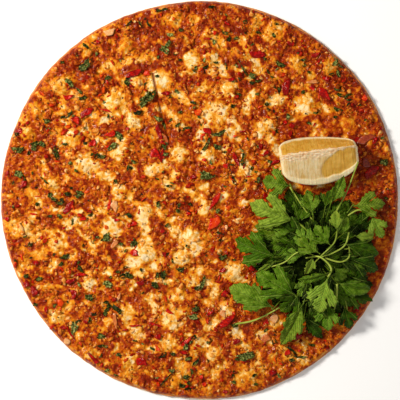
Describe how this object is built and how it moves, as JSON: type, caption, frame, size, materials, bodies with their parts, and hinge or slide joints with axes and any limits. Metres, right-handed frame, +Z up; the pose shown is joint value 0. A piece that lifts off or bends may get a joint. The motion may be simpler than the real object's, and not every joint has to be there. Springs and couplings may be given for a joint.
{
  "type": "lahmacun",
  "caption": "Round thin flatbread baked with a crumbly minced meat, pepper and herb spread, garnished with a lemon wedge and a loose bunch of flat-leaf parsley.",
  "frame": {"origin": "centre of the flat underside of the bread", "axes": "+Z up through the bread's thickness; the lemon wedge lies towards +X and +Y, the parsley towards +X and -Y"},
  "size_m": [0.2778, 0.2783, 0.0316],
  "materials": {
    "baked_dough": "matte, floury and browned in spots",
    "meat_spread": "crumbly, slightly oily",
    "lemon": "moist flesh with pale pith",
    "parsley_leaf": "satin leaf"
  },
  "bodies": {
    "root": {"dough": "baked_dough", "topping": "meat_spread", "lemon_wedge": "lemon", "parsley": "parsley_leaf"}
  },
  "joints": []
}
